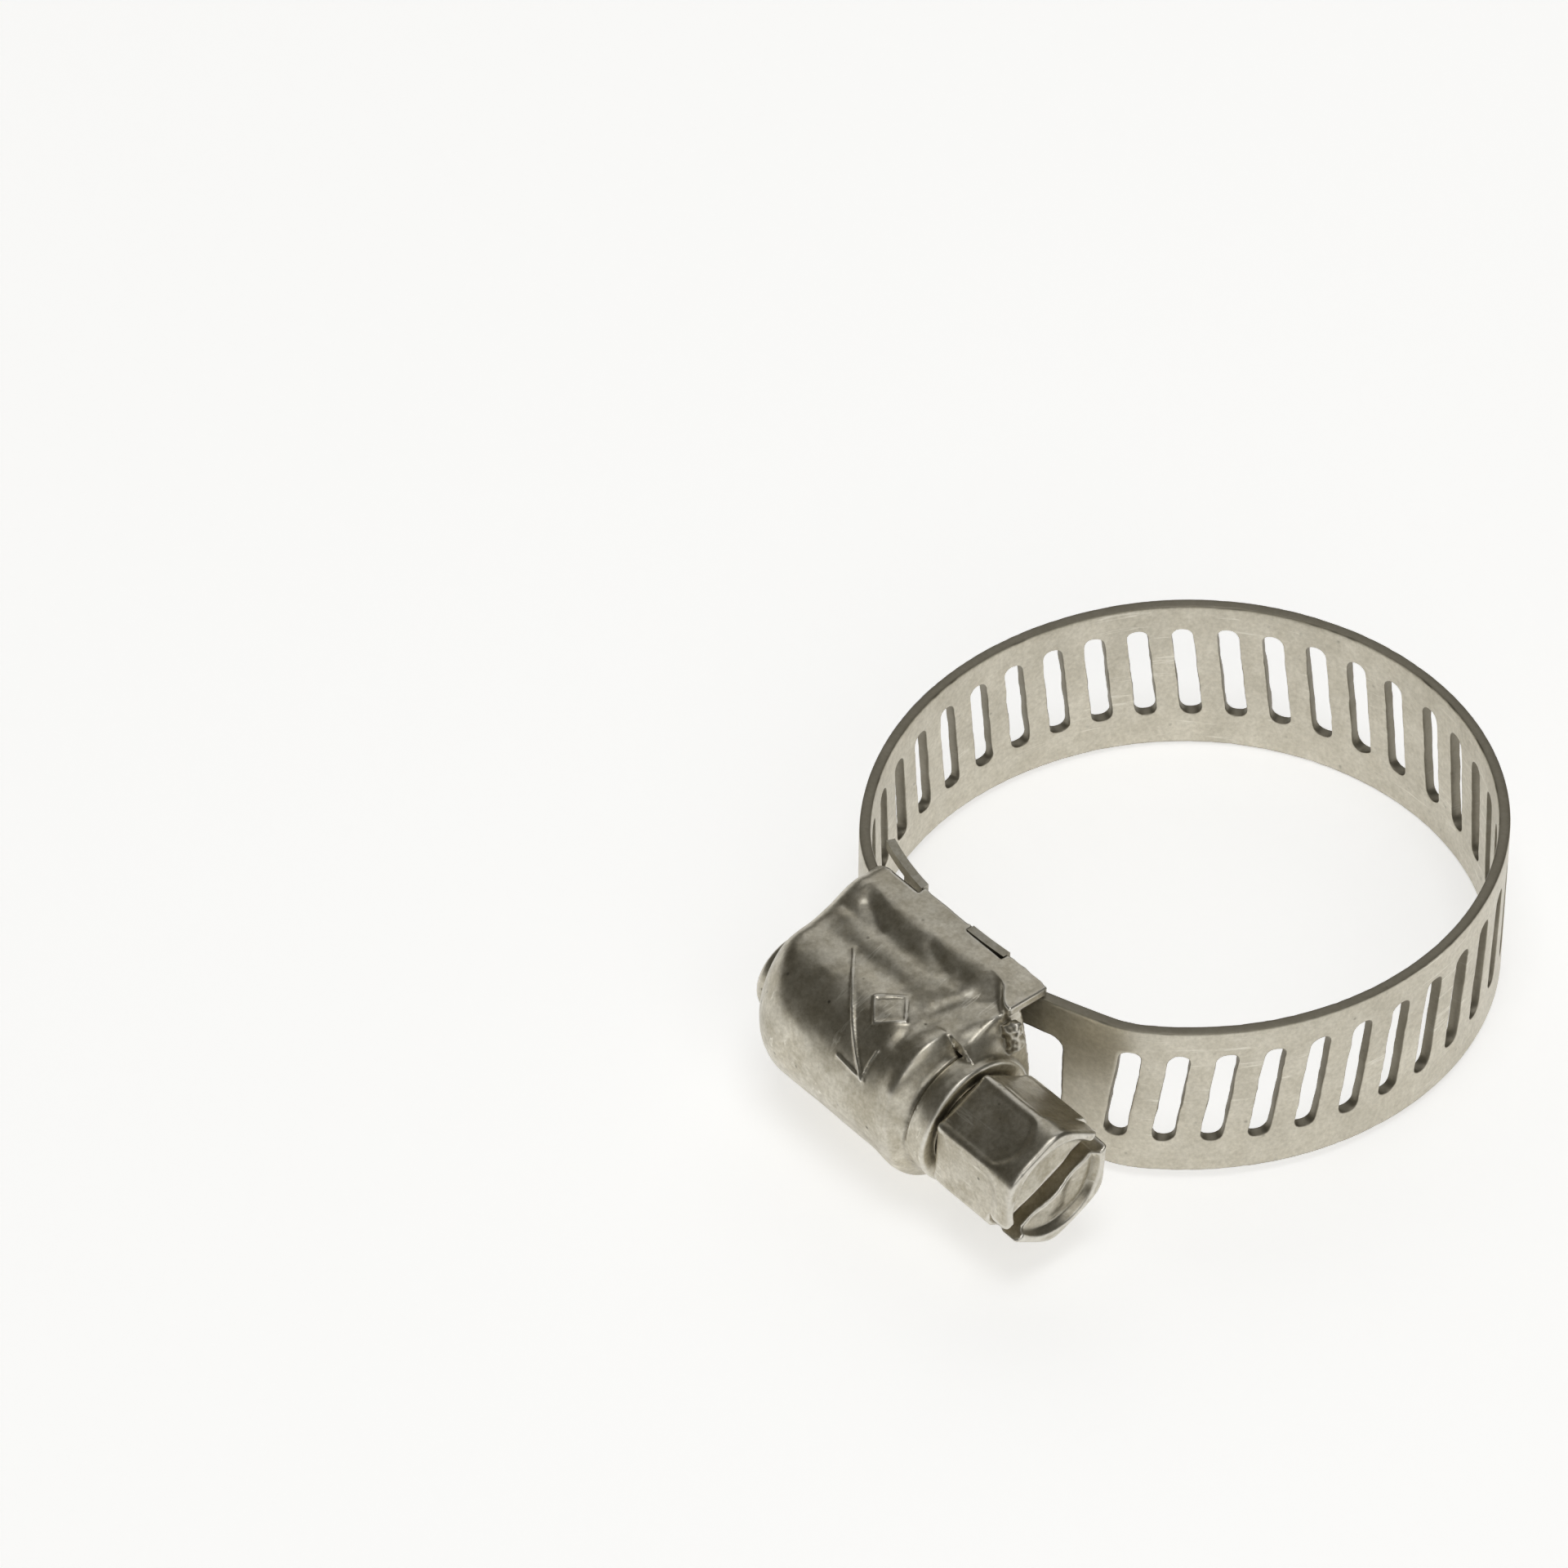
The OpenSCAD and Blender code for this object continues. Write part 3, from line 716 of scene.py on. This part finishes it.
def steel(name, light, dark, rough, grain, attr=None, pits=0.5, brushed=None, relief=0.012, stains=0.5,
          scratches=(0.25, 3.0, 3.0)):
    """Stainless steel with clouds, grain, pits and scratches. A curvature attribute gives painted shade in
    hollows and lighter edges, partly rubbing and partly painted highlight. A cut attribute gives darker cut
    faces, partly their own tone and partly painted shade.
    """
    m = bpy.data.materials.new(name)
    m.use_nodes = True
    t = m.node_tree
    bsdf = t.nodes["Principled BSDF"]
    bsdf.inputs["Metallic"].default_value = 1.0
    coord = t.nodes.new("ShaderNodeTexCoord").outputs["Object"]
    cloud = noise(t, coord, 420, 5.0, 0.6)
    speck = noise(t, coord, 5200, 3.0, 0.6)
    base = ramp(t, cloud, [(0.28, dark), (0.72, light)])
    fine = ramp(t, speck, [(0.3, (0.45, 0.43, 0.38)), (0.7, (1.0, 1.0, 1.0))])
    base = mix(t, base, fine, grain, "MULTIPLY")
    stain = ramp(t, noise(t, coord, 950, 6.0, 0.7), [(0.40, (0.62, 0.585, 0.50)), (0.58, (1.0, 1.0, 1.0))])
    base = mix(t, base, stain, stains, "MULTIPLY")
    scratch = ramp(t, noise(t, coord, 800, 2.0, 0.5, scratches), [(0.62, 0.0), (0.66, 1.0), (0.70, 0.0)])
    scratch = math_node(t, "MULTIPLY", scratch, ramp(t, noise(t, coord, 260, 2.0), [(0.5, 0.0), (0.6, 0.6)]))
    base = mix(t, base, (0.86, 0.83, 0.74), scratch)
    vor = t.nodes.new("ShaderNodeTexVoronoi")
    vor.inputs["Scale"].default_value = 1500
    t.links.new(coord, vor.inputs["Vector"])
    pit_mask = math_node(t, "MULTIPLY", ramp(t, vor.outputs["Distance"], [(0.06, 1.0), (0.16, 0.0)]),
                         ramp(t, noise(t, coord, 900, 2.0), [(0.52, 0.0), (0.62, pits)]))
    base = mix(t, base, (0.10, 0.09, 0.07), pit_mask)
    roughness = math_node(t, "ADD", math_node(t, "MULTIPLY", noise(t, coord, 700, 4.0), 0.22), rough - 0.11)
    if attr:
        at = t.nodes.new("ShaderNodeAttribute")
        at.attribute_name = attr
        value = at.outputs["Fac"]
        if attr == "edge_wear_sheen_and_cavity_shade":
            # painted shade: hollows and creases darkened by curvature; convex edges lightened, partly rubbed
            # bright and partly painted highlight
            low = math_node(t, "MULTIPLY", value, -1.0)
            cavity_shade = math_node(t, "MULTIPLY", ramp(t, low, [(0.08, 0.0), (0.5, 1.0)]), 0.55)
            base = mix(t, base, (0.16, 0.145, 0.115), cavity_shade)
            edge_wear_and_highlight = math_node(t, "MULTIPLY", ramp(t, value, [(0.15, 0.0), (0.6, 1.0)]), 0.5)
            base = mix(t, base, (0.86, 0.84, 0.78), edge_wear_and_highlight)
        else:
            # cut faces darker and rougher: partly the sheared edge's own duller tone, partly painted shade
            # on the slot walls
            base = mix(t, base, (0.20, 0.18, 0.135), math_node(t, "MULTIPLY", value, 0.75))
            roughness = math_node(t, "ADD", roughness, math_node(t, "MULTIPLY", value, 0.12))
    t.links.new(base, bsdf.inputs["Base Color"])
    t.links.new(roughness, bsdf.inputs["Roughness"])
    line = noise(t, coord, 900, 3.0, 0.6, brushed or (1, 1, 1))
    height = math_node(t, "ADD", math_node(t, "MULTIPLY", speck, 0.35),
                       math_node(t, "SUBTRACT", math_node(t, "MULTIPLY", line, 0.5),
                                 math_node(t, "ADD", pit_mask, math_node(t, "MULTIPLY", scratch, 0.4))))
    b = t.nodes.new("ShaderNodeBump")
    b.inputs["Strength"].default_value = 0.55
    b.inputs["Distance"].default_value = relief * MM
    t.links.new(height, b.inputs["Height"])
    t.links.new(b.outputs["Normal"], bsdf.inputs["Normal"])
    return m


LIGHT, DARK = (0.74, 0.70, 0.60), (0.62, 0.585, 0.495)
# the band's cut faces and slot walls get a darker colour, partly their own tone and partly painted shade
band_mat = steel("band_strip_steel", LIGHT, DARK, 0.42, 0.35, "cut", pits=0.35,
                 brushed=(0.25, 0.25, 6), stains=0.18, scratches=(0.3, 0.3, 5.0))
house_mat = steel("housing_sheet_steel", LIGHT, (0.55, 0.52, 0.44), 0.34, 0.45, "edge_wear_sheen_and_cavity_shade", pits=0.8,
                  brushed=(5, 0.5, 1), stains=0.5, scratches=(3.5, 0.3, 1.5))
screw_mat = steel("screw_forged_steel", (0.72, 0.68, 0.585), (0.54, 0.51, 0.43), 0.32, 0.45, "edge_wear_sheen_and_cavity_shade",
                  pits=0.7, brushed=(1, 4, 4), stains=0.6)
saddle_mat = steel("saddle_sheet_steel", (0.56, 0.54, 0.47), (0.42, 0.40, 0.345), 0.42, 0.4,
                   pits=0.4, brushed=(4, 1, 1))


def give(ob, mat):
    ob.data.materials.clear()
    ob.data.materials.append(mat)


for ob in (band_fixed, band_free, band_far):
    give(ob, band_mat)
give(housing, house_mat)
give(screw, screw_mat)
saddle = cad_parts["saddle"]
for s in saddle.material_slots:
    s.material = saddle_mat

# ---------------------------------------------------------------- what each piece rides on

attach(band_fixed, "root")
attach(band_free, "free_band")
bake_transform(band_far)
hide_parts("band_fixed_half")
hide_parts("band_free_half")
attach(housing, "root")
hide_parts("housing")
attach(screw, "screw")
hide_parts("worm_screw")


# ---------------------------------------------------------------- camera, floor and light

PLAN = 0.8534660042252271
ELEV = 0.7529425518642999
ROLL = 0.01746208062604139
CAM_X, CAM_Y, CAM_D = 17.370166424717276, -6.666239748998448, 523.6360547680969
FOCAL_PX, FRAME_PX, SENSOR = 15000.0, 1920.0, 36.0


def from_plan(x, y, z):
    c, s = math.cos(PLAN), math.sin(PLAN)
    return Vector((c * x - s * y, s * x + c * y, z))


right = from_plan(1, 0, 0)
above = from_plan(0, math.sin(ELEV), math.cos(ELEV))
ahead = from_plan(0, math.cos(ELEV), -math.sin(ELEV))
cam = bpy.data.objects.new("camera", bpy.data.cameras.new("camera"))
COL.objects.link(cam)
cam.data.sensor_width = SENSOR
cam.data.lens = FOCAL_PX / FRAME_PX * SENSOR
cam.data.clip_start, cam.data.clip_end = 0.01, 20
spot = Vector((0, -0.39, -4)) - CAM_X * right - CAM_Y * above - CAM_D * ahead
cam_x = math.cos(ROLL) * right + math.sin(ROLL) * above
cam_y = -math.sin(ROLL) * right + math.cos(ROLL) * above
m = Matrix.Identity(4)
for i, axis in enumerate((cam_x, cam_y, -ahead)):
    for j in range(3):
        m[j][i] = axis[j]
m.translation = spot * MM
cam.matrix_world = m
bpy.context.scene.camera = cam

# the clamp rests on the ring's rim and on the housing, so the floor leans a little
FLOOR_TILT = math.atan2(0.6, 29.2)
FLOOR_SIZE = 2.0
bpy.ops.mesh.primitive_plane_add(size=FLOOR_SIZE)
floor = bpy.context.object
floor.name = "floor"
floor.rotation_euler = (FLOOR_TILT, 0, 0)
floor.location = (0, -0.0165, -0.00462)
fm = bpy.data.materials.new("floor_paper")
fm.use_nodes = True
fb = fm.node_tree.nodes["Principled BSDF"]
fb.inputs["Base Color"].default_value = (0.93, 0.93, 0.92, 1)
fb.inputs["Roughness"].default_value = 0.9
fb.inputs["Specular IOR Level"].default_value = 0.1
fb.inputs["Emission Color"].default_value = (1, 1, 1, 1)
fb.inputs["Emission Strength"].default_value = 0.55
give(floor, fm)

bpy.context.scene.view_settings.view_transform = "Standard"
world = bpy.data.worlds.new("studio")
bpy.context.scene.world = world
world.use_nodes = True
wt = world.node_tree
bg = wt.nodes["Background"]
wc = wt.nodes.new("ShaderNodeTexCoord")
sep = wt.nodes.new("ShaderNodeSeparateXYZ")
wt.links.new(wc.outputs["Generated"], sep.inputs[0])
# pale at the horizon and dark above, as a dim room round a lit table
sky = ramp(wt, sep.outputs[2], [(0.0, (0.75, 0.74, 0.70)), (0.05, (0.36, 0.35, 0.32)),
                                (0.16, (0.10, 0.095, 0.082)), (1.0, (0.075, 0.071, 0.06))])
wt.links.new(sky, bg.inputs["Color"])
bg.inputs["Strength"].default_value = 1.0


def panel(name, azimuth, elevation, radiance, width, height, distance=0.7):
    """A soft box aimed at the object, from its brightness."""
    light = bpy.data.lights.new(name, "AREA")
    light.shape = "RECTANGLE"
    light.size, light.size_y = width, height
    light.energy = radiance * math.pi * width * height
    ob = bpy.data.objects.new(name, light)
    COL.objects.link(ob)
    a, e = math.radians(azimuth), math.radians(elevation)
    place = distance * Vector((math.cos(a) * math.cos(e), math.sin(a) * math.cos(e), math.sin(e)))
    ob.location = place
    ob.rotation_euler = (-place).to_track_quat("-Z", "Y").to_euler()


panel("back", 139, 44, 0.62, 0.75, 0.5)
panel("front", 335, 38, 1.0, 0.55, 0.45)
panel("top", 320, 80, 2.6, 0.35, 0.35)
